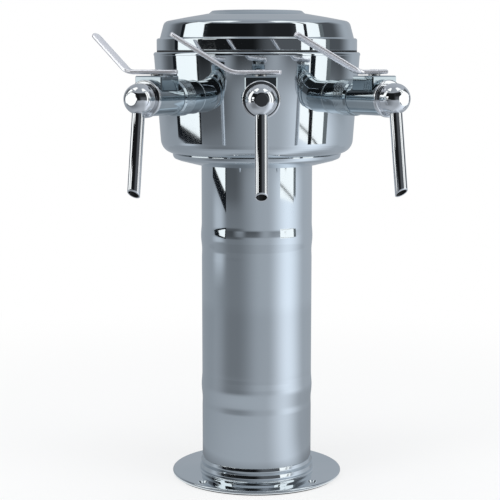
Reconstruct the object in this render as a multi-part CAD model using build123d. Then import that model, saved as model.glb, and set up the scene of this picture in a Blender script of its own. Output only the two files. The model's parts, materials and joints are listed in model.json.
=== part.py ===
from build123d import *
import os
from math import cos, sin, radians, sqrt

# Beer tower: a round base flange carries a column tube, the column carries a
# spun head with a lid, and three ball-valve taps stand out of the head.
# Millimetres. The origin is on the column axis, on the surface the tower
# stands on; +Z is up and the middle tap points along -Y.

# ---- clearances ----
slip = 0.05             # radial gap of a slip fit
seat_gap = 0.1          # gap round a part that is only guided

# ---- base ----
seal_thickness = 1.5    # gasket under the flange
seal_inset = 2.5        # the gasket is this much smaller than the flange
flange_edge = 3.1       # thickness at the rim
flange_edge_round = 1.4
flange_crown = 0.3      # rise of the top from the rim to the collar
collar_height = 15.4    # above the flange underside
collar_step = 6.2       # upper step of the collar
collar_wall = 2.4
collar_step_in = 1.1
tube_seat_depth = 1.4   # how deep the tube sits below the flange top
passage_radius = 38.0   # way through the flange for the lines
fixing_circle = 140.0
fixing_margin = 8.9     # from the middle of a fixing hole to the flange's rim
fixing_count = 4
fixing_hole = 5.5
countersink = 9.4
countersink_depth = 1.9

# ---- column ----
column_od = 101.6
column_wall = 1.5
head_bottom = 301.6     # underside of the head floor
tube_stand_up = 7.0     # tube above the underside of the head floor
bead_heights = (84.9, 224.8)    # where the tube is widest
bead_rise = 0.85
bead_upper = 11.2       # from the widest place up to the plain tube
bead_lower = 11.3       # from the widest place down to the waist
bead_waist = 0.3        # depth of the waist under the bead
waist_lower = 7.6       # from the waist down to the plain tube
bead_blend = 50.0       # radius at each change of slope

# ---- neck under the head ----
neck_height = 10.5
neck_width = 26.3       # how far the neck stands out from the tube
neck_edge = 4.5         # height of the neck's outer edge
neck_foot = 4.2         # width of the neck's lower edge on the tube
neck_round = 4.0

# ---- head bowl ----
bowl_wall = 1.5
bowl_height = 91.1      # underside of the floor to the top of the rim
bowl_top_radius = 93.4
bowl_low_radius = 86.9
bowl_corner = 12.5
rim_step = 0.4          # the rim stands this far out of the wall
rim_height = 3.0
rim_round = 2.0
rim_lip = 4.5           # the rim turns inward this far, from the wall's outer face

# ---- ring and screws that clamp the head on the neck ----
clamp_margin = 8.5      # from a screw's axis to the ring's outer edge
clamp_thickness = 5.0
clamp_screw_offset = 8.7    # from the tube's surface to a screw's axis
clamp_screw_count = 6
clamp_screw_size = 4.0
clamp_screw_head = 7.0
clamp_screw_head_height = 4.0
clamp_screw_grip = 6.0  # depth in the neck

# ---- lid ----
lid_wall = 1.2
lid_skirt_gap = 0.3     # between the skirt and the rim's lip
lid_band_width = 2.3    # the band stands this far out of the skirt
lid_band_height = 10.9
lid_crown_step = 2.9    # the crown's wall stands in from the band
lid_crown_height = 15.0
lid_crown_draft = 4.1   # the crown's wall leans in by this much
lid_shoulder = 5.5
lid_dome_rise = 4.0
lid_dome_width = 25.0   # crown's wall to the break in the dome
lid_dome_blend = 60.0
lid_plateau_edge = 43.5
lid_rise_to_plateau = 3.3
lid_plateau_step = 2.5
lid_plateau_radius = 40.6
lid_skirt_depth = 9.0   # part of the lid inside the bowl
lid_seal_thickness = 1.4
lid_seal_width = 2.2

# ---- inside the column ----
foam_wall = 15.0
foam_bottom = 30.0
foam_end_gap = 6.0      # below the neck clamp
line_od = 9.5
line_wall = 1.25
line_circle_radius = 24.0
line_bend = 25.0
line_bottom = 8.0       # line ends above the counter
tail_stub = 24.0        # plain end of a line, below its stop bead
tail_bead_width = 2.0
tail_bead_rise = 0.8
spacer_thickness = 8.0
spacer_heights = (55.0, 235.0)
coolant_od = 8.0
coolant_wall = 1.0
coolant_turn = 30.0     # half the angle between the two coolant legs
coolant_rise = 22.0     # straight legs above the underside of the head floor

# ---- taps ----
tap_names = ("left", "centre", "right")
tap_turns = (-31.3, 0.0, 35.5)   # degrees round the column from the middle tap
tap_rise = 53.4         # tap axis above the underside of the head floor
tap_stand_off = 71.2    # bowl wall to lever axis

shank_od = 20.0
shank_bore = 8.0
shank_length = 70.5
shank_reach = 27.5      # shank's outer end to the lever axis
line_socket = 8.0       # depth of the line in the shank

washer_radius = 15.0
washer_thickness = 3.2
lock_nut_flats = 27.0
lock_nut_thickness = 7.0

wall_collar_radius = 13.6
wall_collar_length = 20.2
wall_collar_lip = 2.4
wall_collar_lip_rise = 0.8

nut_barrel_radius = 14.3
nut_bead = 2.0
nut_grip_radius = 15.4
nut_grip_length = 14.0
nut_groove_depth = 0.45
nut_groove_count = 7
nut_nose = 2.2
nut_wall = 1.5
nut_clearance = 0.4     # between nut cavity wall and the tail flange

body_radius = 14.2
body_back = 20.0        # lever axis to the inlet end of the body barrel
body_front = 15.2       # lever axis to the outlet end
body_edge = 0.7
tail_step = 1.4         # the tail flange stands this far out of the tail
tail_flange_length = 3.2
gasket_thickness = 1.4

block_side = 26.0
block_top = 18.4        # above the tap axis
block_edge = 0.9

valve_bore = 8.0
valve_ball_diameter = 17.0
seat_edge = 0.9         # seat radius over the ball's
seat_length = 6.0
seat_back = 4.0         # outer face of a seat beyond the ball

stem_diameter = 10.0
stem_shoulder = 1.1     # stem above the block
stem_square = 6.0
stem_blade = 2.8
stem_blade_length = 7.0
stem_blade_depth = 2.2
stem_seal_radius = 6.5
stem_seal_height = 3.0
stem_seal_drop = 4.0    # seal top below the block top

ring_radius = 15.4
ring_thickness = 4.0
ring_edge = 1.2

cap_radius = 12.7
cap_reach = 25.5        # lever axis to the ball centre of the cap

spout_od = 10.5
spout_wall = 1.0
spout_tilt = 7.0        # degrees, the lower end leans outward
spout_drop = 76.5       # ball centre to the spout's end, along the spout axis
spout_bevel = 30.0      # degrees, the outer side is the shorter one
spout_socket = 7.5      # from the ball centre to the spout's top
spout_root_step = 0.3   # the root in the cap is this much smaller in radius
spout_shoulder = 0.4    # the full tube starts this far out of the ball
cap_way_step = 0.35     # the way through the cap is wider than the spout's bore

lever_width = 9.0
lever_thickness = 3.8
lever_tail = 17.7       # pivot to the round end of the tail
lever_bend = 24.3       # pivot to the bend
lever_arm = 53.6        # bend to the tip, seen from above
lever_rise = 30.8       # height of the tip's middle over the tail's middle
lever_elbow = 40.8      # degrees, the arm turns back towards the tower, seen from above
lever_set = 17.5        # degrees, the tail is turned outward from square to the tap
lever_bend_radius = 12.0
lever_end_margin = 0.3  # the rounding of the ends leaves this much of the half width
lever_screw_margin = 0.3    # from the screw's head to the side of the bar
lever_screw_head_depth = 2.2
lever_screw_size = 4.0
lever_screw_length = 11.0

# ---- places that follow from the sizes above ----
column_radius = column_od / 2
flange_radius = fixing_circle / 2 + fixing_margin
flange_bottom = seal_thickness
flange_top = flange_bottom + flange_edge
collar_top = flange_bottom + collar_height
collar_radius = column_radius + collar_wall
tube_bottom = flange_top + flange_crown - tube_seat_depth
tube_top = head_bottom + tube_stand_up
tube_inner_radius = column_radius - column_wall
foam_radius = tube_inner_radius - bead_waist - seat_gap
neck_radius = column_radius + neck_width
head_floor = head_bottom + bowl_wall
clamp_screw_radius = column_radius + clamp_screw_offset
clamp_radius = clamp_screw_radius + clamp_margin
coolant_top = head_bottom + coolant_rise
rim_top = head_bottom + bowl_height
rim_bottom = rim_top - rim_height
rim_radius = bowl_top_radius + rim_step
rim_lip_radius = bowl_top_radius - rim_lip
lid_skirt_radius = rim_lip_radius - lid_skirt_gap
lid_band_radius = lid_skirt_radius + lid_band_width
lid_crown_radius = lid_band_radius - lid_crown_step
lid_dome_mid_radius = lid_crown_radius - lid_dome_width
band_bottom = rim_top + lid_seal_thickness
band_top = band_bottom + lid_band_height
crown_top = band_top + lid_crown_height
wall_slope = (bowl_top_radius - bowl_low_radius) / (rim_bottom - head_bottom)
tap_height = head_bottom + tap_rise
wall_distance = bowl_low_radius + wall_slope * tap_rise
valve_distance = wall_distance + tap_stand_off
shank_end = valve_distance - shank_reach
shank_inner_end = shank_end - shank_length
collar_end = wall_distance + wall_collar_length
tail_flange_radius = nut_barrel_radius - nut_wall - nut_clearance
tail_radius = tail_flange_radius - tail_step
body_start = valve_distance - body_back
body_end = valve_distance + body_front
ball_radius = valve_ball_diameter / 2
seat_radius = ball_radius + seat_edge
seat_reach = ball_radius + seat_back
block_top_height = tap_height + block_top
lever_bottom = block_top_height + stem_shoulder
lever_screw_head = lever_width - 2 * lever_screw_margin
stem_square_height = lever_thickness - lever_screw_head_depth - seat_gap
cap_centre = valve_distance + cap_reach
spout_radius = spout_od / 2
spout_bore = spout_radius - spout_wall
spout_root_radius = spout_radius - spout_root_step
spout_start = sqrt(cap_radius ** 2 - spout_radius ** 2) + spout_shoulder

column_axis = Axis.Z
tap_axis = Axis((0, 0, tap_height), (0, -1, 0))
# local x runs outward along the tap axis, local y runs up from it
tap_plane = Plane(origin=(0, 0, tap_height), x_dir=(0, -1, 0), z_dir=(-1, 0, 0))
upright_plane = Plane.XZ


def rounded_face(corners):
    """A flat face from (x, y, corner radius) rows."""
    points = [(x, y) for x, y, _ in corners]
    radii = [r for _, _, r in corners]
    return make_face(FilletPolyline(*points, radius=radii, close=True))


def spun(corners):
    """Turn (radius, height, corner radius) rows about the column axis."""
    return revolve(upright_plane * rounded_face(corners), axis=column_axis)


def turned(corners):
    """Turn (distance from column, radius, corner radius) rows about the tap axis."""
    return revolve(tap_plane * rounded_face(corners), axis=tap_axis)


def tap_rod(start, end, radius):
    """A cylinder on the tap axis between two distances from the column axis."""
    place = Plane(origin=(0, -start, tap_height), z_dir=(0, -1, 0))
    return place * Cylinder(radius, end - start, align=(Align.CENTER, Align.CENTER, Align.MIN))


def post(x, y, bottom, top, radius):
    """An upright cylinder."""
    rod = Cylinder(radius, top - bottom, align=(Align.CENTER, Align.CENTER, Align.MIN))
    return Pos(x, y, bottom) * rod


def upright_box(length, width, height):
    return Box(length, width, height, align=(Align.CENTER, Align.CENTER, Align.MIN))


def on_lever_axis(height, shape):
    return Pos(0, -valve_distance, height) * shape


def on_circle(radius, angle):
    """A point at an angle from -Y, positive towards +X."""
    return radius * sin(radians(angle)), -radius * cos(radians(angle))


# ---- base ----
def fixing_angles():
    return [360 / fixing_count * (n + 0.5) for n in range(fixing_count)]


def make_base_seal():
    seal_radius = flange_radius - seal_inset
    seal = post(0, 0, 0, seal_thickness, seal_radius) - post(0, 0, 0, seal_thickness, passage_radius)
    for angle in fixing_angles():
        x, y = on_circle(fixing_circle / 2, angle)
        seal -= post(x, y, 0, seal_thickness, fixing_hole / 2)
    return seal


def make_base_flange():
    upper_radius = collar_radius - collar_step_in
    seat_radius_low = column_radius + slip
    flange = spun([
        (passage_radius, flange_bottom, 0),
        (flange_radius, flange_bottom, 0),
        (flange_radius, flange_top, flange_edge_round),
        (collar_radius, flange_top + flange_crown, 1.5),
        (collar_radius, collar_top - collar_step, 0.8),
        (upper_radius, collar_top - collar_step, 0),
        (upper_radius, collar_top, 0.8),
        (seat_radius_low, collar_top, 0),
        (seat_radius_low, tube_bottom, 0),
        (passage_radius, tube_bottom, 0),
    ])
    rise = flange_crown * (flange_radius - fixing_circle / 2) / (flange_radius - collar_radius)
    surface = flange_top + rise
    for angle in fixing_angles():
        x, y = on_circle(fixing_circle / 2, angle)
        flange -= post(x, y, flange_bottom, surface + 1, fixing_hole / 2)
        sink = Cone(fixing_hole / 2, countersink / 2, countersink_depth,
                    align=(Align.CENTER, Align.CENTER, Align.MAX))
        flange -= Pos(x, y, surface) * sink
        flange -= post(x, y, surface, surface + 1, countersink / 2)
    return flange


# ---- column ----
def bead_corners(height):
    """Outer profile of one swaged ring bead and the waist under it, going up."""
    waist = height - bead_lower
    return [
        (column_radius, waist - waist_lower, bead_blend),
        (column_radius - bead_waist, waist, bead_blend),
        (column_radius + bead_rise, height, bead_blend),
        (column_radius, height + bead_upper, bead_blend),
    ]


def make_column_tube():
    corners = [(column_radius, tube_bottom, 0)]
    for height in bead_heights:
        corners += bead_corners(height)
    corners.append((column_radius, tube_top, 0))
    wall_inside = [(r - column_wall, z, rad) for r, z, rad in corners]
    return spun(corners + wall_inside[::-1])


def make_column_foam():
    foam_top = head_bottom - foam_end_gap
    inner = foam_radius - foam_wall
    return post(0, 0, foam_bottom, foam_top, foam_radius) - post(0, 0, foam_bottom, foam_top, inner)


def coolant_points():
    return [on_circle(line_circle_radius, 180 + side * coolant_turn) for side in (-1, 1)]


def make_line_spacers():
    outer = foam_radius - foam_wall - slip
    spacers = []
    for bottom in spacer_heights:
        top = bottom + spacer_thickness
        disc = post(0, 0, bottom, top, outer)
        for turn in tap_turns:
            x, y = on_circle(line_circle_radius, turn)
            disc -= post(x, y, bottom, top, line_od / 2 + slip)
        for x, y in coolant_points():
            disc -= post(x, y, bottom, top, coolant_od / 2 + slip)
        disc -= post(0, 0, bottom, top, line_circle_radius - line_od / 2 - 2)
        spacers.append(disc)
    return Compound(children=spacers)


def tube_along(path, outer_radius, wall):
    """A hollow tube along a path that starts upright at its first point."""
    start = Plane(origin=path @ 0, z_dir=path % 0)
    section = start * (Circle(outer_radius) - Circle(outer_radius - wall))
    return sweep(section, path=path)


def stop_bead(x, y, radius, wall):
    """The raised ring that stops a coupling pushed on a line's lower end."""
    bottom = line_bottom + tail_stub
    top = bottom + tail_bead_width
    return post(x, y, bottom, top, radius + tail_bead_rise) - post(x, y, bottom, top, radius - wall / 2)


def make_coolant_loop():
    (x1, y1), (x2, y2) = coolant_points()
    bend = abs(x2 - x1) / 2
    legs = Line((x1, y1, line_bottom), (x1, y1, coolant_top))
    crown = ThreePointArc((x1, y1, coolant_top), (0, y1, coolant_top + bend), (x2, y2, coolant_top))
    back = Line((x2, y2, coolant_top), (x2, y2, line_bottom))
    loop = tube_along(Wire([legs, crown, back]), coolant_od / 2, coolant_wall)
    for x, y in coolant_points():
        loop += stop_bead(x, y, coolant_od / 2, coolant_wall)
    return loop


def make_product_line():
    inner_end = shank_inner_end + line_socket
    path = FilletPolyline(
        (0, -line_circle_radius, line_bottom),
        (0, -line_circle_radius, tap_height),
        (0, -inner_end, tap_height),
        radius=line_bend,
    )
    line = tube_along(path, line_od / 2, line_wall)
    return line + stop_bead(0, -line_circle_radius, line_od / 2, line_wall)


# ---- head ----
def bowl_radius_at(height):
    return bowl_low_radius + wall_slope * (height - head_bottom)


def bowl_envelope(offset):
    """The filled shape inside the bowl's outer face, grown by an offset."""
    return spun([
        (0, head_bottom, 0),
        (bowl_radius_at(head_bottom) + offset, head_bottom, 0),
        (bowl_radius_at(rim_bottom) + offset, rim_bottom, 0),
        (0, rim_bottom, 0),
    ])


def make_neck_ring():
    bore = column_radius + slip
    bottom = head_bottom - neck_height
    ring = spun([
        (bore, bottom, 0),
        (bore + neck_foot, bottom, 0.8),
        (neck_radius - 6, head_bottom - neck_edge - 2.0, 6.0),
        (neck_radius, head_bottom - neck_edge, neck_round),
        (neck_radius, head_bottom, 0),
        (bore, head_bottom, 0),
    ])
    for x, y in clamp_screw_points():
        ring -= post(x, y, head_bottom - clamp_screw_grip, head_bottom, clamp_screw_size / 2 + slip)
    return ring


def clamp_screw_points():
    step = 360 / clamp_screw_count
    return [on_circle(clamp_screw_radius, step * (n + 0.5)) for n in range(clamp_screw_count)]


def make_head_bowl():
    opening = column_radius + slip
    bowl = spun([
        (opening, head_bottom, 0),
        (bowl_low_radius, head_bottom, bowl_corner),
        (bowl_top_radius, rim_bottom, 0),
        (rim_radius, rim_bottom, rim_step - 0.2),
        (rim_radius, rim_top, rim_round),
        (rim_lip_radius, rim_top, 0),
        (rim_lip_radius, rim_top - bowl_wall, 0),
        (bowl_top_radius - bowl_wall, rim_top - bowl_wall, 0),
        (bowl_top_radius - bowl_wall, rim_bottom, 0),
        (bowl_radius_at(head_floor) - bowl_wall, head_floor, bowl_corner - bowl_wall),
        (opening, head_floor, 0),
    ])
    for turn in tap_turns:
        bowl -= Rot(0, 0, turn) * tap_rod(shank_inner_end, valve_distance, shank_od / 2 + slip)
    for x, y in clamp_screw_points():
        bowl -= post(x, y, head_bottom, head_floor, clamp_screw_size / 2 + slip)
    return bowl


def make_clamp_ring():
    top = head_floor + clamp_thickness
    ring = post(0, 0, head_floor, top, clamp_radius) - post(0, 0, head_floor, top, column_radius + slip)
    for x, y in clamp_screw_points():
        ring -= post(x, y, head_floor, top, clamp_screw_size / 2 + slip)
    return ring


def make_clamp_screws():
    seat = head_floor + clamp_thickness
    screws = []
    for x, y in clamp_screw_points():
        shank = post(x, y, head_bottom - clamp_screw_grip, seat, clamp_screw_size / 2)
        head = post(x, y, seat, seat + clamp_screw_head_height, clamp_screw_head / 2)
        socket = extrude(Pos(x, y, seat + clamp_screw_head_height) * RegularPolygon(1.7, 6), -2)
        screws.append(shank + head - socket)
    return Compound(children=screws)


def make_head_lid():
    wall = lid_wall
    skirt = lid_skirt_radius
    skirt_end = band_bottom - lid_skirt_depth
    shoulder_radius = lid_crown_radius - lid_crown_draft
    dome_mid = crown_top + lid_dome_rise
    plateau = dome_mid + lid_rise_to_plateau + lid_plateau_step
    outer = [
        (0, plateau, 0),
        (lid_plateau_radius, plateau, 1.4),
        (lid_plateau_edge, plateau - lid_plateau_step, 2.5),
        (lid_dome_mid_radius, dome_mid, lid_dome_blend),
        (shoulder_radius, crown_top, lid_shoulder),
        (lid_crown_radius, band_top, 0.8),
        (lid_band_radius, band_top, 1.6),
        (lid_band_radius, band_bottom, 0),
        (skirt, band_bottom, 0),
        (skirt, skirt_end, 0),
    ]
    inner = [
        (skirt - wall, skirt_end, 0),
        (skirt - wall, band_top - wall, 0.4),
        (lid_crown_radius - wall, band_top - wall, 0.4),
        (shoulder_radius - wall, crown_top - wall, lid_shoulder - wall),
        (lid_dome_mid_radius - 0.3, dome_mid - wall, lid_dome_blend),
        (lid_plateau_edge - 0.8, plateau - lid_plateau_step - wall, 1.0),
        (lid_plateau_radius - 0.6, plateau - wall, 0.4),
        (0, plateau - wall, 0),
    ]
    return spun(outer + inner)


def make_lid_seal():
    inside = lid_skirt_radius + slip
    outer = inside + lid_seal_width
    return post(0, 0, rim_top, band_bottom, outer) - post(0, 0, rim_top, band_bottom, inside)


# ---- tap parts, each made for the middle tap ----
def make_shank():
    shank = tap_rod(shank_inner_end, shank_end, shank_od / 2)
    shank -= tap_rod(shank_inner_end, shank_end, shank_bore / 2)
    return shank - tap_rod(shank_inner_end, shank_inner_end + line_socket, line_od / 2 + slip)


def washer_start():
    """Distance from the column axis at which the wall washer's flat face lies."""
    inside = bowl_radius_at(tap_height - washer_radius) - bowl_wall
    return sqrt(inside ** 2 - washer_radius ** 2) - washer_thickness


def make_wall_washer():
    start = washer_start()
    disc = tap_rod(start, valve_distance, washer_radius) & bowl_envelope(-bowl_wall - slip)
    return disc - tap_rod(start, valve_distance, shank_od / 2 + slip)


def make_lock_nut():
    end = washer_start()
    start = end - lock_nut_thickness
    place = Plane(origin=(0, -start, tap_height), x_dir=(0, 0, 1), z_dir=(0, -1, 0))
    hexagon = place * RegularPolygon(lock_nut_flats / 2, 6, major_radius=False)
    nut = extrude(hexagon, lock_nut_thickness)
    return nut - tap_rod(start, end, shank_od / 2 + slip)


def make_wall_collar():
    start = wall_distance - wall_collar_radius
    lip = collar_end - wall_collar_lip
    collar = turned([
        (start, shank_od / 2 + slip, 0),
        (start, wall_collar_radius, 0),
        (lip, wall_collar_radius, 0),
        (lip, wall_collar_radius + wall_collar_lip_rise, 0.7),
        (collar_end, wall_collar_radius + wall_collar_lip_rise, 0.7),
        (collar_end, shank_od / 2 + slip, 0),
    ])
    return collar - bowl_envelope(slip)


def make_coupling_nut():
    start = collar_end
    end = body_start - seat_gap
    grip_end = end - nut_nose
    grip_start = grip_end - nut_grip_length
    bead_start = grip_start - nut_bead
    cavity_start = shank_end - seat_gap
    cavity_radius = tail_flange_radius + nut_clearance
    cavity_end = body_start - nut_nose
    pitch = nut_grip_length / nut_groove_count
    corners = [
        (start, shank_od / 2 + slip, 0),
        (start, nut_barrel_radius, 0.6),
        (bead_start, nut_barrel_radius, 0),
        (bead_start, nut_barrel_radius + 0.7, 0.5),
        (grip_start, nut_barrel_radius + 0.7, 0),
    ]
    for n in range(nut_groove_count):
        crest = grip_start + pitch * (n + 0.5)
        corners.append((crest - pitch * 0.34, nut_grip_radius, 0.2))
        corners.append((crest + pitch * 0.34, nut_grip_radius, 0.2))
        if n < nut_groove_count - 1:
            corners.append((crest + pitch * 0.5, nut_grip_radius - nut_groove_depth, 0))
    corners += [
        (end, body_radius + 0.3, 0.3),
        (end, tail_radius + slip, 0),
        (cavity_end, tail_radius + slip, 0),
        (cavity_end, cavity_radius, 0),
        (cavity_start, cavity_radius, 0),
        (cavity_start, shank_od / 2 + slip, 0),
    ]
    return turned(corners)


def make_tap_gasket():
    end = shank_end + gasket_thickness
    return tap_rod(shank_end, end, tail_flange_radius) - tap_rod(shank_end, end, valve_bore / 2)


def make_tap_body():
    tail_start = shank_end + gasket_thickness
    chamber_start = valve_distance - seat_reach
    flange_end = tail_start + tail_flange_length
    body = turned([
        (tail_start, 0, 0),
        (tail_start, tail_flange_radius, 0.3),
        (flange_end, tail_flange_radius, 0.3),
        (flange_end, tail_radius, 0),
        (body_start, tail_radius, 0),
        (body_start, body_radius, body_edge),
        (body_end, body_radius, body_edge),
        (body_end, 0, 0),
    ])
    block = on_lever_axis(tap_height, upright_box(block_side, block_side, block_top))
    block = chamfer(block.edges().filter_by(Axis.Z) + block.faces().sort_by(Axis.Z)[-1].edges(),
                    block_edge)
    body += block
    body -= tap_rod(tail_start, body_end, valve_bore / 2)
    body -= tap_rod(chamber_start, body_end, seat_radius + slip)
    body -= post(0, -valve_distance, tap_height, block_top_height, stem_diameter / 2 + slip)
    seal_top = block_top_height - stem_seal_drop
    return body - post(0, -valve_distance, seal_top - stem_seal_height, seal_top, stem_seal_radius)


def valve_sphere(radius):
    return on_lever_axis(tap_height, Sphere(radius))


def make_valve_seats():
    start = valve_distance - seat_reach
    end = valve_distance + seat_reach
    near = tap_rod(start, start + seat_length, seat_radius)
    far = tap_rod(end - seat_length, end, seat_radius)
    tool = tap_rod(start, end, valve_bore / 2) + valve_sphere(ball_radius + slip)
    return Compound(children=[near - tool, far - tool])


def make_valve_ball():
    bore = Rot(0, 90, 0) * Cylinder(valve_bore / 2, 2 * valve_ball_diameter)
    ball = valve_sphere(ball_radius) - on_lever_axis(tap_height, bore)
    slot_bottom = tap_height + ball_radius - stem_blade_depth
    slot = upright_box(stem_blade_length + 2 * seat_gap, stem_blade + 2 * slip, 2 * stem_blade_depth)
    return ball - on_lever_axis(slot_bottom, slot)


def make_valve_stem():
    bottom = tap_height + ball_radius + slip
    stem = post(0, -valve_distance, bottom, lever_bottom, stem_diameter / 2)
    blade = upright_box(stem_blade_length, stem_blade, stem_blade_depth)
    stem += on_lever_axis(bottom - stem_blade_depth, blade)
    stem += on_lever_axis(lever_bottom, upright_box(stem_square, stem_square, stem_square_height))
    lever_top = lever_bottom + lever_thickness
    screw_end = lever_top - lever_screw_length
    return stem - post(0, -valve_distance, screw_end, lever_top, lever_screw_size / 2 + slip)


def make_stem_seal():
    top = block_top_height - stem_seal_drop
    ring = post(0, -valve_distance, top - stem_seal_height, top, stem_seal_radius - slip)
    return ring - post(0, -valve_distance, top - stem_seal_height, top, stem_diameter / 2 + slip)


def bar_end_edges(bar, end):
    """The two short upright edges of the bar's end face next to a point."""
    face = bar.faces().sort_by_distance(end)[0]
    return face.edges().sort_by(SortBy.LENGTH)[:2]


def make_lever():
    elbow = radians(lever_elbow)
    # local x points away from the pivot along the tail, the bar's middle is at height 0
    tail = Vector(-lever_tail, 0, 0)
    bend = Vector(lever_bend, 0, 0)
    tip = bend + Vector(lever_arm * cos(elbow), -lever_arm * sin(elbow), lever_rise)
    path = FilletPolyline(tail, bend, tip, radius=lever_bend_radius)
    section = Plane(origin=tail, x_dir=(0, 1, 0), z_dir=(1, 0, 0)) * Rectangle(lever_width, lever_thickness)
    bar = sweep(section, path=path)
    for end in (tail, tip):
        bar = fillet(bar_end_edges(bar, end), lever_width / 2 - lever_end_margin)
    # the bar lies towards -X, its tail turned outward from square to the tap
    lever = on_lever_axis(lever_bottom + lever_thickness / 2, Rot(0, 0, 180 + lever_set) * bar)
    hole_side = stem_square + 2 * slip
    lever -= on_lever_axis(lever_bottom, upright_box(hole_side, hole_side, stem_square_height))
    return lever - lever_screw_shape(slip, lever_thickness)


def lever_screw_shape(extra, length):
    """Countersunk screw, its head flush with the top of the lever."""
    top = lever_bottom + lever_thickness
    head = Cone(lever_screw_size / 2 + extra, lever_screw_head / 2 + extra, lever_screw_head_depth,
                align=(Align.CENTER, Align.CENTER, Align.MAX))
    shape = on_lever_axis(top, head)
    return shape + post(0, -valve_distance, top - length, top - lever_screw_head_depth,
                        lever_screw_size / 2 + extra)


def make_lever_screw():
    top = lever_bottom + lever_thickness
    socket = extrude(Pos(0, -valve_distance, top) * RegularPolygon(1.5, 6), -1.6)
    return lever_screw_shape(0, lever_screw_length) - socket


def make_cap_ring():
    start = body_end
    end = start + ring_thickness
    bore = seat_radius + 2 * slip
    return turned([
        (start, bore, 0),
        (start, ring_radius, ring_edge),
        (end, ring_radius, ring_edge),
        (end, bore, 0),
    ])


def spout_frame():
    """Plane at the ball centre whose normal points down the spout."""
    tilt = radians(spout_tilt)
    return Plane(origin=(0, -cap_centre, tap_height), x_dir=(1, 0, 0), z_dir=(0, -sin(tilt), -cos(tilt)))


def make_outlet_cap():
    start = body_end + ring_thickness
    spigot_start = valve_distance + seat_reach
    facing_out = Plane(origin=(0, -cap_centre, tap_height), z_dir=(0, -1, 0))
    dome = facing_out * Sphere(cap_radius, arc_size1=0, align=(Align.CENTER, Align.CENTER, Align.MIN))
    cap = tap_rod(start, cap_centre, cap_radius) + dome + tap_rod(spigot_start, start, seat_radius)
    cap -= tap_rod(spigot_start, cap_centre, valve_bore / 2)
    cap -= spout_frame() * spout_rod(0, spout_bore + cap_way_step)
    return cap - spout_frame() * spout_rod(spout_socket, spout_root_radius + slip)


def spout_rod(start, radius):
    """A cylinder down the spout's axis, from a distance below the ball centre."""
    rod = Cylinder(radius, spout_drop + spout_od - start, align=(Align.CENTER, Align.CENTER, Align.MIN))
    return Pos(0, 0, start) * rod


def make_spout():
    tube = spout_rod(spout_start, spout_radius) + spout_rod(spout_socket, spout_root_radius)
    tube -= spout_rod(spout_socket, spout_bore)
    knife = upright_box(4 * spout_od, 4 * spout_od, 2 * spout_od)
    tube -= Pos(0, 0, spout_drop) * Rot(-spout_bevel, 0, 0) * knife
    return spout_frame() * tube


# ---- write one file per part ----
def save(shape, name):
    shape.label = name
    export_step(shape, "parts/" + name + ".step")


def three_of(make):
    """The same piece on each tap, as separate solids of one part."""
    piece = make()
    return Compound(children=[Rot(0, 0, turn) * piece for turn in tap_turns])


tower_parts = {
    "base_seal": make_base_seal,
    "base_flange": make_base_flange,
    "column_tube": make_column_tube,
    "column_foam": make_column_foam,
    "line_spacers": make_line_spacers,
    "coolant_loop": make_coolant_loop,
    "neck_ring": make_neck_ring,
    "head_bowl": make_head_bowl,
    "clamp_ring": make_clamp_ring,
    "clamp_screws": make_clamp_screws,
    "head_lid": make_head_lid,
    "lid_seal": make_lid_seal,
}
grouped_parts = {
    "wall_washers": make_wall_washer,
    "lock_nuts": make_lock_nut,
    "tap_gaskets": make_tap_gasket,
    "stem_seals": make_stem_seal,
}
tap_parts = {
    "product_line": make_product_line,
    "shank": make_shank,
    "wall_collar": make_wall_collar,
    "coupling_nut": make_coupling_nut,
    "tap_body": make_tap_body,
    "valve_seats": make_valve_seats,
    "valve_ball": make_valve_ball,
    "valve_stem": make_valve_stem,
    "lever": make_lever,
    "lever_screw": make_lever_screw,
    "cap_ring": make_cap_ring,
    "outlet_cap": make_outlet_cap,
    "spout": make_spout,
}

os.makedirs("parts", exist_ok=True)
for name, make in tower_parts.items():
    save(make(), name)
for name, make in grouped_parts.items():
    save(three_of(make), name)
for name, make in tap_parts.items():
    piece = make()
    for side, turn in zip(tap_names, tap_turns):
        save(Rot(0, 0, turn) * piece, name + "_" + side)
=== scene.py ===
import json
from math import atan2, cos, degrees, pi, radians, sin, sqrt, tan

import bmesh
import bpy
from mathutils import Matrix, Vector


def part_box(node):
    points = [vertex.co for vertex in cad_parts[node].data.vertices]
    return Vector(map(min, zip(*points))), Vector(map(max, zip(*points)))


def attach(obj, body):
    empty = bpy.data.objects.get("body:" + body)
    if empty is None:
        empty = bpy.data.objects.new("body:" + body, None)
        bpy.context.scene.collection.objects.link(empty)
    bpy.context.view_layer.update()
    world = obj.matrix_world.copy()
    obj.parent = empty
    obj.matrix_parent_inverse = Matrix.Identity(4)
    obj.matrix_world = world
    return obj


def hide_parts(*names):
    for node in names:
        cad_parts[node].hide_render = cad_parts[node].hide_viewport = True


MM = 0.001

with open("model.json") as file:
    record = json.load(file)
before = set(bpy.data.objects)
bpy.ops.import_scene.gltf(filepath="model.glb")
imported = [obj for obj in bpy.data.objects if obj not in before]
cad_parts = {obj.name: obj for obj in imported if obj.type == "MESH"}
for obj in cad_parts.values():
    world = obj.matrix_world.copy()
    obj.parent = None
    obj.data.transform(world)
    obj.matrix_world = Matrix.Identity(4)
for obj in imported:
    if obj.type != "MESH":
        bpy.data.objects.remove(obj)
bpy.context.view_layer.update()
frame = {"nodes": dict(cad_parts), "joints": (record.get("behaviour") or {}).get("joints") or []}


# ---------------------------------------------------------------- camera
# It stands where the named points of the tower fall on their places in the photo, in millimetres.
LENS, SENSOR_WIDTH = 104.33, 36.0
CAMERA_PLACE = Vector((-25.5, -1330.0, 390.3))
YAW, PITCH = radians(0.83), radians(7.67)


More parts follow.
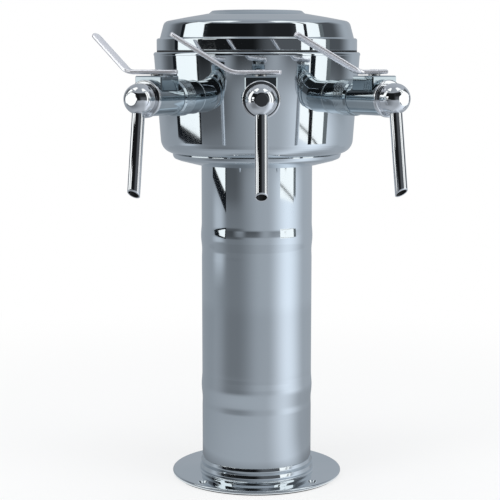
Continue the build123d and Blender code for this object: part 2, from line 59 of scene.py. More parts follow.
def make_camera():
    data = bpy.data.cameras.new("camera")
    data.sensor_width = SENSOR_WIDTH
    data.lens = LENS
    data.clip_start = 0.05
    data.clip_end = 50.0
    camera = bpy.data.objects.new("camera", data)
    bpy.context.scene.collection.objects.link(camera)
    look = Vector((sin(YAW) * cos(PITCH), cos(YAW) * cos(PITCH), -sin(PITCH)))
    camera.location = CAMERA_PLACE * MM
    camera.rotation_mode = "QUATERNION"
    camera.rotation_quaternion = look.to_track_quat("-Z", "Y")
    bpy.context.scene.camera = camera


make_camera()
bpy.context.scene.view_settings.view_transform = "Standard"


# ---------------------------------------------------------------- studio
def emission_material(name, color, strength):
    mat = bpy.data.materials.new(name)
    mat.use_nodes = True
    tree = mat.node_tree
    tree.nodes.clear()
    out = tree.nodes.new("ShaderNodeOutputMaterial")
    glow = tree.nodes.new("ShaderNodeEmission")
    glow.inputs["Color"].default_value = (*color, 1)
    glow.inputs["Strength"].default_value = strength
    tree.links.new(glow.outputs[0], out.inputs[0])
    return mat


def only_in_reflections(obj):
    obj.visible_camera = False
    obj.visible_diffuse = False
    obj.visible_shadow = False
    obj.visible_volume_scatter = False


def stage_mesh(name, corners, faces, material):
    mesh = bpy.data.meshes.new(name)
    mesh.from_pydata(corners, [], faces)
    mesh.materials.append(material)
    obj = bpy.data.objects.new(name, mesh)
    bpy.context.scene.collection.objects.link(obj)
    return obj


def around(azimuth, radius, height):
    """A point round the tower; azimuth 0 is the camera's side, positive to its right."""
    a = radians(azimuth)
    return (radius * sin(a), -radius * cos(a), height)


def panel(name, left, right, radius, low, high, material):
    """An upright card that follows a circle round the tower; low and high are the heights of
    its edges at its left and right ends."""
    steps = round((right - left) / 2)
    corners = []
    for n in range(steps + 1):
        t = n / steps
        azimuth = left * (1 - t) + right * t
        corners.append(around(azimuth, radius, low[0] * (1 - t) + low[1] * t))
        corners.append(around(azimuth, radius, high[0] * (1 - t) + high[1] * t))
    faces = [(2 * n, 2 * n + 2, 2 * n + 3, 2 * n + 1) for n in range(steps)]
    only_in_reflections(stage_mesh(name, corners, faces, material))


ROOM_RADIUS, ROOM_HEIGHT = 0.90, 1.40

# Soft lights and shades on the room's wall, each laid over those before it: the azimuths of its
# sides and how far it fades out past them, its lowest and highest edge and their fade, its level.
WALL_LIGHTS = {
    "low_light_right": ((66, 66, 46), (0.00, 0.195, 0.070), 1.00),
    "low_shade_left": ((-52, -42, 48), (0.00, 0.300, 0.040), 0.22),
    "rim_shade_left": ((-66, -46, 26), (0.190, 0.260, 0.040), 0.11),
    "low_light_far_left": ((-88, -82, 20), (0.090, 0.160, 0.050), 0.58),
    "dark_front": ((-108, 100, 30), (0.300, 1.060, 0.090), 0.10),
    "black_front_left": ((-60, -6, 20), (0.300, 1.060, 0.090), 0.01),
    "black_front_right": ((10, 38, 24), (0.700, 1.060, 0.250), 0.02),
    "glow_left": ((-38, -34, 15), (0.265, 0.270, 0.040), 0.36),
    "glow_right": ((18, 18, 16), (0.262, 0.275, 0.045), 0.38),
}

# The bare wall's middle level, and how much brighter it is at the right side.
WALL_LEVEL, WALL_RIGHT = 0.42, 0.06
# The table's middle level near the tower, how much brighter it is in front, and the light that
# lies on it: the azimuth, the fade and the level.
TABLE_LEVEL, TABLE_FRONT = 0.39, 0.06
TABLE_LIGHT = (54, 42, 0.74)
# The ceiling's level in front, and how much brighter it is at the right side and at the back.
CEILING_LEVEL, CEILING_RIGHT, CEILING_BACK = 0.36, 0.08, 0.06


def smooth(t):
    t = min(max(t, 0.0), 1.0)
    return t * t * (3 - 2 * t)


def between(value, low, high, fade):
    """One between low and high, falling smoothly to nothing over the fade on either side."""
    return smooth((value - low) / fade + 1) * smooth((high - value) / fade + 1)


def wrapped(azimuth):
    return (azimuth + 180) % 360 - 180


def wall_level(azimuth, height):
    azimuth = wrapped(azimuth)
    level = WALL_LEVEL + WALL_RIGHT * sin(radians(azimuth))
    for sides, edges, light in WALL_LIGHTS.values():
        level += (light - level) * between(azimuth, *sides) * between(height, *edges)
    return level


def table_level(azimuth, radius):
    """The table fades from its own level near the tower to the wall's foot, and lies in the
    tower's shade where the two meet."""
    azimuth = wrapped(azimuth)
    middle, fade, light = TABLE_LIGHT
    near = TABLE_LEVEL + TABLE_FRONT * cos(radians(azimuth))
    near += (light - near) * between(azimuth, middle, middle, fade)
    foot = 0.92 * wall_level(azimuth, 0.05)
    level = near + (foot - near) * smooth((radius - 0.25) / 0.25)
    return level * (0.6 + 0.4 * smooth((radius - 0.08) / 0.05))


def ceiling_level(azimuth, radius):
    """The ceiling is lighter to the right and behind the tower."""
    behind = 0.5 - 0.5 * cos(radians(azimuth))
    side = sin(radians(azimuth)) * radius / ROOM_RADIUS
    return CEILING_LEVEL + CEILING_RIGHT * side + CEILING_BACK * behind


def room_rings():
    """The room's rings, from the tower's foot out, up and in again. Each has its radius, its
    height, what gives its level, and where on the table, wall or ceiling that is."""
    table_radii = (0.083, 0.10, 0.13, 0.2, 0.3, 0.4, 0.5, 0.7, ROOM_RADIUS)
    ceiling_radii = (ROOM_RADIUS, 0.7, 0.5, 0.3, 0.1, 0.001)
    table = [(radius, 0.001, table_level, radius) for radius in table_radii]
    wall = [(ROOM_RADIUS, 0.02 * n, wall_level, 0.02 * n) for n in range(1, 70)]
    ceiling = [(radius, ROOM_HEIGHT, ceiling_level, radius) for radius in ceiling_radii]
    return table + wall + ceiling


def room_material():
    """Glows by the level that is stored on each corner of the room."""
    mat = emission_material("surround", (0.92, 1.0, 1.10), 1.0)
    tree = mat.node_tree
    level = tree.nodes.new("ShaderNodeAttribute")
    level.attribute_name = "level"
    tree.links.new(level.outputs["Fac"], tree.nodes["Emission"].inputs["Strength"])
    return mat


def make_surround():
    """The table, wall and ceiling of the grey studio round the tower, for reflections alone."""
    rings, steps = room_rings(), 180
    corners, levels, faces = [], [], []
    for radius, height, level_at, where in rings:
        for n in range(steps):
            azimuth = 360 * n / steps
            corners.append(around(azimuth, radius, height))
            levels.append(level_at(azimuth, where))
    for ring in range(len(rings) - 1):
        low, high = ring * steps, (ring + 1) * steps
        for n in range(steps):
            m = (n + 1) % steps
            faces.append((low + n, low + m, high + m, high + n))
    room = stage_mesh("surround", corners, faces, room_material())
    attribute = room.data.attributes.new("level", "FLOAT", "POINT")
    attribute.data.foreach_set("value", levels)
    only_in_reflections(room)


def ceiling_card(name, left, right, material):
    """A card just under the ceiling, between two azimuths."""
    height = ROOM_HEIGHT - 0.02
    corners = [around(left, 0.80, height), around(right, 0.80, height),
               around(right, 0.30, height), around(left, 0.30, height)]
    only_in_reflections(stage_mesh(name, corners, [(0, 1, 2, 3)], material))


def make_softboxes():
    """White windows with black frames and bars, as the polished steel shows them."""
    white = emission_material("softbox_white", (0.97, 1.0, 1.0), 1.2)
    black = emission_material("softbox_frame", (0.01, 0.012, 0.015), 1.0)
    grey = emission_material("softbox_bar", (0.16, 0.18, 0.19), 1.0)
    top = (1.12, 1.12)
    panel("softbox_left", -96, -67, 0.70, (0.240, 0.207), top, white)
    panel("frame_left", -102, -65, 0.72, (0.224, 0.176), top, black)
    panel("softbox_right", 46.5, 78, 0.70, (0.200, 0.192), top, white)
    panel("line_right", 46.5, 79, 0.695, (0.217, 0.194), (0.221, 0.198), black)
    panel("side_right", 78, 84, 0.70, (0.200, 0.200), top, grey)
    panel("bar_right", 56.5, 60.5, 0.69, (0.240, 0.240), top, black)
    panel("bar_right_near", 49, 53, 0.22, (0.284, 0.284), (0.375, 0.375), black)
    panel("strip_low", -62, -45, 0.86, (0.33, 0.33), (0.39, 0.39), white)
    panel("strip_high", -62, -45, 0.86, (0.45, 0.45), (0.62, 0.62), white)
    ceiling_card("ceiling_left", -96, -44, white)
    ceiling_card("ceiling_right", 28, 76, white)


def shows_background(tree):
    """One for the rays that show the background: the camera's, and those off and through the object."""
    path = tree.nodes.new("ShaderNodeLightPath")
    share = path.outputs["Is Camera Ray"]
    for kind in ("Is Glossy Ray", "Is Transmission Ray"):
        larger = tree.nodes.new("ShaderNodeMath")
        larger.operation = "MAXIMUM"
        tree.links.new(share, larger.inputs[0])
        tree.links.new(path.outputs[kind], larger.inputs[1])
        share = larger.outputs[0]
    return share


def make_floor():
    """A pale floor that keeps the tower's shadow near it, and is white further out."""
    size = 8.0
    corners = [(-size, -size, 0), (size, -size, 0), (size, size, 0), (-size, size, 0)]
    mat = bpy.data.materials.new("floor")
    mat.use_nodes = True
    tree = mat.node_tree
    tree.nodes.clear()
    new, link = tree.nodes.new, tree.links.new
    out = new("ShaderNodeOutputMaterial")
    diffuse = new("ShaderNodeBsdfDiffuse")
    diffuse.inputs["Color"].default_value = (0.86, 0.87, 0.88, 1)
    glow = new("ShaderNodeEmission")
    glow.inputs["Color"].default_value = (1, 1, 1, 1)
    glow.inputs["Strength"].default_value = 1.0
    place = new("ShaderNodeNewGeometry")
    length = new("ShaderNodeVectorMath")
    length.operation = "LENGTH"
    fade = new("ShaderNodeMapRange")
    fade.inputs["From Min"].default_value = 0.15
    fade.inputs["From Max"].default_value = 0.9
    fade.inputs["To Min"].default_value = 0.72
    fade.inputs["To Max"].default_value = 1.0
    fade.interpolation_type = "SMOOTHSTEP"
    share = new("ShaderNodeMath")
    share.operation = "MULTIPLY"
    mix = new("ShaderNodeMixShader")
    link(place.outputs["Position"], length.inputs[0])
    link(length.outputs["Value"], fade.inputs["Value"])
    link(fade.outputs["Result"], share.inputs[0])
    link(shows_background(tree), share.inputs[1])
    link(share.outputs[0], mix.inputs["Fac"])
    link(diffuse.outputs[0], mix.inputs[1])
    link(glow.outputs[0], mix.inputs[2])
    link(mix.outputs[0], out.inputs[0])
    stage_mesh("floor", corners, [(0, 1, 2, 3)], mat)


def make_world():
    """White for the rays that show the background, and a dimmer, cooler light for the rest."""
    world = bpy.data.worlds.new("studio")
    bpy.context.scene.world = world
    world.use_nodes = True
    tree = world.node_tree
    tree.nodes.clear()
    new, link = tree.nodes.new, tree.links.new
    out = new("ShaderNodeOutputWorld")
    ambient = new("ShaderNodeBackground")
    ambient.inputs["Color"].default_value = (0.95, 0.98, 1.0, 1)
    ambient.inputs["Strength"].default_value = 0.55
    white = new("ShaderNodeBackground")
    white.inputs["Color"].default_value = (1, 1, 1, 1)
    white.inputs["Strength"].default_value = 1.0
    mix = new("ShaderNodeMixShader")
    link(shows_background(tree), mix.inputs["Fac"])
    link(ambient.outputs[0], mix.inputs[1])
    link(white.outputs[0], mix.inputs[2])
    link(mix.outputs[0], out.inputs[0])


def area_lamp(name, place, target, size, power):
    data = bpy.data.lights.new(name, "AREA")
    data.shape = "RECTANGLE"
    data.size, data.size_y = size
    data.energy = power
    lamp = bpy.data.objects.new(name, data)
    bpy.context.scene.collection.objects.link(lamp)
    lamp.location = place
    aim = Vector(target) - Vector(place)
    lamp.rotation_mode = "QUATERNION"
    lamp.rotation_quaternion = aim.to_track_quat("-Z", "Y")
    lamp.visible_glossy = False


make_surround()
make_softboxes()
make_floor()
make_world()
area_lamp("top_light", (0.0, -0.25, 1.30), (0, 0, 0.2), (0.55, 0.45), 5.0)
area_lamp("left_light", (-1.3, -0.8, 1.1), (0, 0, 0.2), (0.8, 0.8), 9.0)
area_lamp("right_light", (1.3, -0.6, 1.1), (0, 0, 0.2), (0.8, 0.8), 7.0)


# ---------------------------------------------------------------- materials
def surface(name, color, metallic, roughness):
    mat = bpy.data.materials.new(name)
    mat.use_nodes = True
    shader = mat.node_tree.nodes["Principled BSDF"]
    shader.inputs["Base Color"].default_value = (*color, 1)
    shader.inputs["Metallic"].default_value = metallic
    shader.inputs["Roughness"].default_value = roughness
    return mat


def noise(tree, scale, stretch=(1, 1, 1), detail=2.0):
    """A noise pattern in the piece's own coordinates, in metres."""
    place = tree.nodes.new("ShaderNodeTexCoord")
    mapping = tree.nodes.new("ShaderNodeMapping")
    mapping.inputs["Scale"].default_value = stretch
    pattern = tree.nodes.new("ShaderNodeTexNoise")
    pattern.inputs["Scale"].default_value = scale
    pattern.inputs["Detail"].default_value = detail
    tree.links.new(place.outputs["Object"], mapping.inputs["Vector"])
    tree.links.new(mapping.outputs["Vector"], pattern.inputs["Vector"])
    return pattern.outputs["Fac"]


def vary_roughness(mat, scale, low, high, stretch=(1, 1, 1)):
    """Cloudy patches of wiped and dull surface."""
    tree = mat.node_tree
    spread = tree.nodes.new("ShaderNodeMapRange")
    spread.inputs["From Min"].default_value = 0.3
    spread.inputs["From Max"].default_value = 0.7
    spread.inputs["To Min"].default_value = low
    spread.inputs["To Max"].default_value = high
    tree.links.new(noise(tree, scale, stretch, 4.0), spread.inputs["Value"])
    tree.links.new(spread.outputs["Result"], tree.nodes["Principled BSDF"].inputs["Roughness"])


def vary_color(mat, scale, dark, light, stretch=(1, 1, 1)):
    tree = mat.node_tree
    ramp = tree.nodes.new("ShaderNodeValToRGB")
    ramp.color_ramp.elements[0].position = 0.32
    ramp.color_ramp.elements[0].color = (*dark, 1)
    ramp.color_ramp.elements[1].position = 0.68
    ramp.color_ramp.elements[1].color = (*light, 1)
    tree.links.new(noise(tree, scale, stretch, 3.0), ramp.inputs["Fac"])
    tree.links.new(ramp.outputs["Color"], tree.nodes["Principled BSDF"].inputs["Base Color"])


def add_relief(mat, scale, depth_mm, stretch=(1, 1, 1), detail=2.0):
    """Raise a noise relief; each call lies on top of the one before."""
    tree = mat.node_tree
    normal = tree.nodes["Principled BSDF"].inputs["Normal"]
    bump = tree.nodes.new("ShaderNodeBump")
    bump.inputs["Strength"].default_value = 1.0
    bump.inputs["Distance"].default_value = depth_mm * MM
    if normal.links:
        tree.links.new(normal.links[0].from_socket, bump.inputs["Normal"])
    tree.links.new(noise(tree, scale, stretch, detail), bump.inputs["Height"])
    tree.links.new(bump.outputs["Normal"], normal)


def paint_bore_shade(mat, share):
    """Paint shade on the faces that a piece marks as the inside of a bore: their colour is mixed towards
    a near black.
    """
    tree = mat.node_tree
    base = tree.nodes["Principled BSDF"].inputs["Base Color"]
    mark = tree.nodes.new("ShaderNodeAttribute")
    mark.attribute_name = "inside"
    mix = tree.nodes.new("ShaderNodeMix")
    mix.data_type = "RGBA"
    mix.inputs["B"].default_value = (share, share, share, 1)
    tree.links.new(mark.outputs["Fac"], mix.inputs["Factor"])
    tree.links.new(base.links[0].from_socket, mix.inputs["A"])
    tree.links.new(mix.outputs["Result"], base)


def make_tower_steel():
    """Mirror polished stainless steel: long soft waves from rolling, faint polishing lines."""
    mat = surface("tower_steel", (0.74, 0.79, 0.82), 1.0, 0.06)
    vary_color(mat, 14, (0.71, 0.765, 0.80), (0.77, 0.81, 0.84), (1, 1, 0.25))
    vary_roughness(mat, 30, 0.03, 0.055, (1, 1, 0.4))
    add_relief(mat, 42, 0.07, (1, 1, 0.10))
    add_relief(mat, 900, 0.0006, (1, 1, 0.03))
    return mat


def make_chrome(name, dark, light):
    """Bright plate over a faintly wavy casting."""
    mat = surface(name, light, 1.0, 0.035)
    vary_color(mat, 60, dark, light)
    vary_roughness(mat, 90, 0.02, 0.06)
    add_relief(mat, 70, 0.012)
    return mat


def make_lever_chrome():
    """Satin chrome with a faint milky tint."""
    mat = surface("lever_chrome", (0.90, 0.895, 0.94), 0.7, 0.12)
    vary_color(mat, 50, (0.88, 0.875, 0.92), (0.93, 0.925, 0.965))
    vary_roughness(mat, 60, 0.09, 0.15)
    add_relief(mat, 60, 0.006)
    return mat


def make_spout_steel():
    """Polished tube, with painted shade in its bore."""
    mat = surface("spout_steel", (0.84, 0.85, 0.87), 1.0, 0.05)
    vary_color(mat, 50, (0.81, 0.825, 0.845), (0.87, 0.875, 0.89), (1, 1, 0.3))
    vary_roughness(mat, 120, 0.03, 0.08, (1, 1, 0.3))
    add_relief(mat, 120, 0.006, (1, 1, 0.12))
    # The bore's near black is painted shade.
    paint_bore_shade(mat, 0.03)
    return mat


def make_machined(name, dark, light, roughness):
    """A turned metal: fine lines, blotchy colour."""
    middle = [(a + b) / 2 for a, b in zip(dark, light)]
    mat = surface(name, middle, 1.0, roughness)
    vary_color(mat, 90, dark, light)
    vary_roughness(mat, 200, roughness - 0.07, roughness + 0.07)
    add_relief(mat, 1500, 0.004, (1, 1, 0.2))
    return mat


def make_dull(name, dark, light, roughness, grain, depth_mm):
    """Rubber, plastic or foam: mottled colour with a grained skin."""
    middle = [(a + b) / 2 for a, b in zip(dark, light)]
    mat = surface(name, middle, 0.0, roughness)
    vary_color(mat, 120, dark, light)
    vary_roughness(mat, 260, roughness - 0.08, roughness + 0.08)
    add_relief(mat, grain, depth_mm, detail=5.0)
    return mat


tower_steel = make_tower_steel()
tap_chrome = make_chrome("tap_chrome", (0.83, 0.845, 0.87), (0.88, 0.885, 0.90))
# A darker, bluer copy of the tap chrome: painted shade for the tap bodies, wall collars and nuts.
painted_shade_chrome = make_chrome("painted_shade_chrome", (0.46, 0.53, 0.57), (0.54, 0.60, 0.63))
lever_chrome = make_lever_chrome()
spout_steel = make_spout_steel()
slot_materials = {
    "tower_steel": tower_steel,
    "tap_chrome": tap_chrome,
    "lever_chrome": lever_chrome,
    "spout_steel": spout_steel,
    "plain_steel": make_machined("plain_steel", (0.57, 0.57, 0.57), (0.65, 0.65, 0.65), 0.28),
    "brass": make_machined("brass", (0.68, 0.48, 0.22), (0.80, 0.60, 0.32), 0.27),
    "seal_rubber": make_dull("seal_rubber", (0.014, 0.014, 0.016), (0.03, 0.03, 0.032), 0.6, 1400, 0.02),
    "white_plastic": make_dull("white_plastic", (0.74, 0.73, 0.69), (0.82, 0.81, 0.78), 0.42, 900, 0.01),
    "line_plastic": make_dull("line_plastic", (0.66, 0.72, 0.73), (0.76, 0.80, 0.81), 0.35, 700, 0.006),
    "foam": make_dull("foam", (0.075, 0.075, 0.08), (0.13, 0.13, 0.14), 0.88, 600, 0.15),
}


def dress_cad_nodes():
    """Give each CAD node the finished material of its slot, and the tap bodies and wall collars a darker
    copy of the chrome, which paints in the shade they show.
    """
    for name, node in frame["nodes"].items():
        # Tap bodies and wall collars get the darker chrome copy, which paints shade on them.
        paints_shade = name.startswith(("tap_body", "wall_collar"))
        for slot in node.material_slots:
            slot.material = painted_shade_chrome if paints_shade else slot_materials[slot.material.name]


# ---------------------------------------------------------------- sizes, in millimetres
def low_corner(node):
    """The lowest corner of a CAD node's box."""
    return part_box(node)[0] / MM


def high_corner(node):
    """The highest corner of a CAD node's box."""
    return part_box(node)[1] / MM


def hinge_place(side):
    """Where a tap's lever turns."""
    joints = {joint["name"]: joint for joint in frame["joints"]}
    return Vector(joints["lever_turn_" + side]["pos_m"]) / MM


def turn_of(side):
    """A tap's turn round the tower, in degrees."""
    hinge = hinge_place(side)
    return degrees(atan2(hinge.x, -hinge.y))


COLUMN_RADIUS, COLUMN_WALL = 50.8, 1.5
COLUMN_BOTTOM, COLUMN_TOP = low_corner("column_tube").z, high_corner("column_tube").z
COLUMN_SEAT = COLUMN_RADIUS + 0.05
BEAD_HEIGHTS = (84.9, 224.8)

FLANGE_BORE, FLANGE_RADIUS = 38.0, high_corner("base_flange").x
FLANGE_BOTTOM, FLANGE_TOP = low_corner("base_flange").z, 4.7
COLLAR_STEP, COLLAR_TOP = 10.7, high_corner("base_flange").z
FIXING_CIRCLE, FIXING_HOLE_RADIUS, FIXING_HEAD_RADIUS = 140.0, 2.75, 4.7

NECK_RADIUS, NECK_BOTTOM = high_corner("neck_ring").x, low_corner("neck_ring").z
HEAD_BOTTOM, HEAD_WALL = low_corner("head_bowl").z, 1.5
RIM_RADIUS, RIM_TOP = high_corner("head_bowl").x - 0.01, high_corner("head_bowl").z
RIM_BOTTOM = RIM_TOP - 3.0
LID_BOTTOM, LID_TOP, LID_WALL = low_corner("head_lid").z, high_corner("head_lid").z, 1.2
BAND_RADIUS, BAND_BOTTOM, BAND_TOP = high_corner("head_lid").x, high_corner("lid_seal").z, 405.0
CROWN_TOP = 420.0

# The taps are alike. Their places along their own axis are from the tower's middle, as the centre
# tap's nodes show. The cap's flat is as far from its round end's centre as stated.
TAPS = {side: turn_of(side) for side in ("left", "centre", "right")}
TAP_HEIGHT = (low_corner("cap_ring_centre").z + high_corner("cap_ring_centre").z) / 2
SHANK_HOLE_RADIUS = 10.05
VALVE_DISTANCE = -hinge_place("centre").y
NUT_START, NUT_END = -high_corner("coupling_nut_centre").y, -low_corner("coupling_nut_centre").y
GRIP_LENGTH, GRIP_RIDGES, NOSE_LENGTH = 14.0, 7, 2.2
RING_RADIUS = high_corner("cap_ring_centre").x
RING_START, RING_END = -high_corner("cap_ring_centre").y, -low_corner("cap_ring_centre").y
CAP_RADIUS = high_corner("outlet_cap_centre").x
CAP_CENTRE = -low_corner("outlet_cap_centre").y - CAP_RADIUS
CAP_FLAT, CAP_FLAT_TILT = 11.4, radians(-1)
SPOUT_RADIUS, SPOUT_WALL, SPOUT_LENGTH = high_corner("spout_centre").x, 1.0, 76.5
SPOUT_LEAN, SPOUT_BEVEL = radians(7), radians(30)

# The lever's middle line from tail to tip, seen with the bar laid along X, and its turn at rest.
ARM_RUN, ARM_SWING, ARM_RISE = 53.6, radians(40.8), 30.8
LEVER_TAIL = Vector((-17.7, 0, 0))
LEVER_BEND = Vector((24.3, 0, 0))
LEVER_TIP = LEVER_BEND + Vector((ARM_RUN * cos(ARM_SWING), -ARM_RUN * sin(ARM_SWING), ARM_RISE))
LEVER_TURN = radians(180 + 17.5)
LEVER_BOTTOM = low_corner("lever_centre").z
LEVER_WIDTH, LEVER_THICKNESS, LEVER_BEND_RADIUS = 9.0, 3.8, 12.0


# ---------------------------------------------------------------- shapes
def corner_arc(before, corner, after, radius, turn_step=9.0):
    """The points that round one corner of an outline, about one for each step of turn."""
    back = (before - corner).normalized()
    ahead = (after - corner).normalized()
    opening = back.angle(ahead)
    if radius <= 0 or opening > pi - 0.01:
        return [corner]
    middle = corner + (back + ahead).normalized() * (radius / sin(opening / 2))
    reach = radius / tan(opening / 2)
    start, end = corner + back * reach - middle, corner + ahead * reach - middle
    turn = pi - opening
    steps = max(3, round(turn / radians(turn_step)))
    points = []
    for n in range(steps + 1):
        t = n / steps
        mixed = start * (sin((1 - t) * turn) / sin(turn)) + end * (sin(t * turn) / sin(turn))
        points.append(middle + mixed)
    return points


def rounded_outline(rows, turn_step, hold=0.25):
    """Round the corners of closed (radius, height, corner radius) rows, and hold each flat stretch."""
    corners = [Vector(row[:2]) for row in rows]
    points = []
    for n, row in enumerate(rows):
        points += corner_arc(corners[n - 1], corners[n], corners[(n + 1) % len(rows)], row[2], turn_step)
    outline = []
    for here, there in zip(points, points[1:] + points[:1]):
        outline.append(here)
        span = (there - here).length
        if span > 4 * hold:
            outline.append(here.lerp(there, hold / span))
            outline.append(here.lerp(there, 1 - hold / span))
    return outline


def add_piece(name, bm, body, material, replaces=(), sharp=35):
    """Turn a bmesh into a finished piece that rides on a body."""
    bmesh.ops.recalc_face_normals(bm, faces=bm.faces)
    mesh = bpy.data.meshes.new(name)
    bm.to_mesh(mesh)
    bm.free()
    mesh.shade_smooth()
    mesh.set_sharp_from_angle(angle=radians(sharp))
    mesh.materials.append(material)
    piece = bpy.data.objects.new(name, mesh)
    bpy.context.scene.collection.objects.link(piece)
    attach(piece, body)
    if replaces:
        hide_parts(*replaces)
    return piece


def turned(rows, steps=192, place=Matrix(), bm=None, turn_step=9.0):
    """Turn a closed outline of (radius, height, corner radius) rows about the local Z axis."""
    bm = bm or bmesh.new()
    rings = []
    for radius, height in rounded_outline(rows, turn_step):
        count = steps if radius > 0.001 else 1
        ring = []
        for n in range(count):
            a = 2 * pi * n / steps
            ring.append(bm.verts.new(place @ Vector((radius * cos(a), radius * sin(a), height)) * MM))
        rings.append(ring)
    for low, high in zip(rings, rings[1:] + rings[:1]):
        join_rings(bm, low, high, steps)
    return bm


def join_rings(bm, low, high, steps):
    if len(low) == 1 and len(high) == 1:
        return
    for n in range(steps):
        m = (n + 1) % steps
        corners = [low[n % len(low)], low[m % len(low)], high[m % len(high)], high[n % len(high)]]
        bm.faces.new(list(dict.fromkeys(corners)))


def tap_place(turn, distance=0.0, height=TAP_HEIGHT):
    """Local Z runs out along the tap's axis, local Y up."""
    a = radians(turn)
    out = Vector((sin(a), -cos(a), 0))
    across = Vector((cos(a), sin(a), 0))
    place = Matrix((across, Vector((0, 0, 1)), out)).transposed().to_4x4()
    place.translation = out * distance + Vector((0, 0, height))
    return place


def upright_place(turn, distance, height):
    """Local Z runs up, local X across the tap and local Y back to the column."""
    a = radians(turn)
    out = Vector((sin(a), -cos(a), 0))
    across = Vector((cos(a), sin(a), 0))
    place = Matrix((across, -out, Vector((0, 0, 1)))).transposed().to_4x4()
    place.translation = out * distance + Vector((0, 0, height))
    return place


def cut(piece, tools):
    """Take the tools' shapes out of a piece."""
    cutter_mesh = bpy.data.meshes.new("cutter")
    tools.to_mesh(cutter_mesh)
    tools.free()
    cutter = bpy.data.objects.new("cutter", cutter_mesh)
    bpy.context.scene.collection.objects.link(cutter)
    modifier = piece.modifiers.new("cut", "BOOLEAN")
    modifier.operation = "DIFFERENCE"
    modifier.solver = "EXACT"
    modifier.object = cutter
    graph = bpy.context.evaluated_depsgraph_get()
    mesh = bpy.data.meshes.new_from_object(piece.evaluated_get(graph))
    piece.modifiers.clear()
    piece.data = mesh
    bpy.data.objects.remove(cutter)
    bpy.data.meshes.remove(cutter_mesh)
    mesh.set_sharp_from_angle(angle=radians(35))
    return piece


# ---------------------------------------------------------------- base and column
def make_flange():
    flange = turned([
        (FLANGE_BORE, FLANGE_BOTTOM, 0),
        (FLANGE_RADIUS, FLANGE_BOTTOM, 0.4),
        (FLANGE_RADIUS, FLANGE_TOP - 0.1, 1.4),
        (53.2, 4.9, 1.0),
        (53.2, 7.7, 2.0),
        (52.15, COLLAR_STEP - 0.1, 0.4),
        (52.1, COLLAR_STEP, 0),
        (52.1, 13.9, 2.0),
        (51.05, COLLAR_TOP, 0.3),
        (COLUMN_SEAT, COLLAR_TOP, 0.1),
        (COLUMN_SEAT, COLUMN_BOTTOM, 0),
        (FLANGE_BORE, COLUMN_BOTTOM, 0),
    ], steps=256)
    flange = add_piece("flange", flange, "tower", tower_steel, ["base_flange"])
    hole, head, above = FIXING_HOLE_RADIUS, FIXING_HEAD_RADIUS, 9
    countersunk = [(0, 0, 0), (hole, 0, 0), (hole, FLANGE_TOP - 1.9, 0), (head, FLANGE_TOP, 0.12),
                   (head, above, 0), (0, above, 0)]
    tools = bmesh.new()
    for n in range(4):
        a = radians(45 + 90 * n)
        x, y = FIXING_CIRCLE / 2 * sin(a), FIXING_CIRCLE / 2 * cos(a)
        turned(countersunk, steps=48, place=Matrix.Translation((x, y, 0)), bm=tools)
    return cut(flange, tools)


def make_column():
    """The tube, with a rolled bead and a shallow waist under it where its lengths join."""
    outside = [(COLUMN_RADIUS, COLUMN_BOTTOM, 0)]
    for height in BEAD_HEIGHTS:
        outside += [(COLUMN_RADIUS, height - 18.9, 50), (COLUMN_RADIUS - 0.3, height - 11.3, 50),
                    (COLUMN_RADIUS + 0.85, height, 50), (COLUMN_RADIUS, height + 11.2, 50)]
    outside.append((COLUMN_RADIUS, COLUMN_TOP, 0))
    inside = [(radius - COLUMN_WALL, height, blend) for radius, height, blend in outside]
    column = turned(outside + inside[::-1], steps=256, turn_step=1.0)
    return add_piece("column", column, "tower", tower_steel, ["column_tube"])


# ---------------------------------------------------------------- head
def make_neck():
    neck = turned([
        (COLUMN_SEAT, NECK_BOTTOM, 0),
        (55.05, NECK_BOTTOM, 0.8),
        (71.1, NECK_BOTTOM + 4.0, 6.0),
        (76.2, NECK_BOTTOM + 6.0, 3.5),
        (NECK_RADIUS, HEAD_BOTTOM - 0.8, 0.6),
        (NECK_RADIUS - 0.2, HEAD_BOTTOM, 0.1),
        (COLUMN_SEAT, HEAD_BOTTOM, 0),
    ], steps=256)
    return add_piece("neck", neck, "tower", tower_steel, ["neck_ring"])


def make_bowl():
    inside_bottom, under_rim = HEAD_BOTTOM + HEAD_WALL, RIM_TOP - HEAD_WALL
    bowl = turned([
        (COLUMN_SEAT, HEAD_BOTTOM, 0),
        (86.9, HEAD_BOTTOM, 12.5),
        (93.4, RIM_BOTTOM, 0.15),
        (RIM_RADIUS, RIM_BOTTOM, 0.15),
        (RIM_RADIUS, RIM_TOP, 2.0),
        (88.9, RIM_TOP, 0.2),
        (88.9, under_rim, 0.2),
        (91.9, under_rim, 0),
        (91.9, RIM_BOTTOM, 0),
        (85.5, inside_bottom, 11.0),
        (COLUMN_SEAT, inside_bottom, 0),
    ], steps=384)
    bowl = add_piece("bowl", bowl, "tower", tower_steel, ["head_bowl"])
    shank_hole = [(0, 60, 0), (SHANK_HOLE_RADIUS, 60, 0), (SHANK_HOLE_RADIUS, 120, 0), (0, 120, 0)]
    tools = bmesh.new()
    for turn in TAPS.values():
        turned(shank_hole, steps=64, place=tap_place(turn), bm=tools)
    return cut(bowl, tools)


